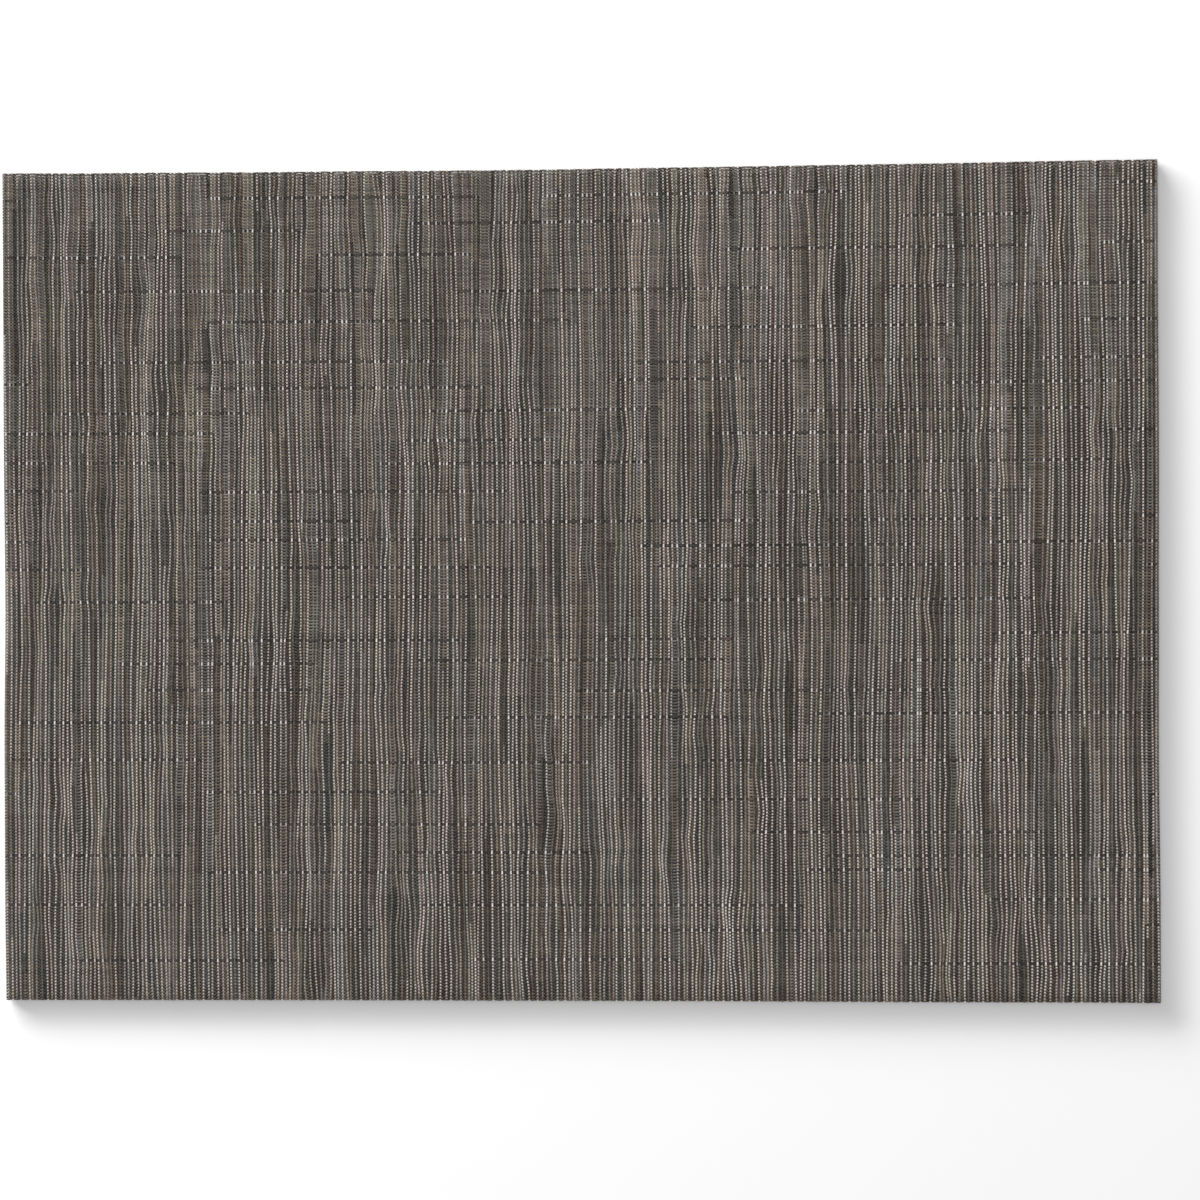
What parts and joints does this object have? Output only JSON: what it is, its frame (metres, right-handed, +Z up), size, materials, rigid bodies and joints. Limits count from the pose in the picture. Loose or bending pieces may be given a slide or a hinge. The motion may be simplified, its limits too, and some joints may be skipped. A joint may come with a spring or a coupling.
{
  "type": "woven placemat",
  "caption": "Flat rectangular placemat of plain-woven coated yarn in streaked warm greys, cut clean on all sides, for a table top.",
  "frame": {"origin": "middle of the mat's bounding box, on the surface that it rests on", "axes": "+X along the width to the right, +Y along the depth from the front edge to the back edge, +Z up out of the face"},
  "size_m": [0.457, 0.33, 0.0015],
  "materials": {
    "coated_yarn": "matte, streaked light and dark warm grey"
  },
  "bodies": {
    "root": {"woven_mat": "coated_yarn"}
  },
  "joints": []
}
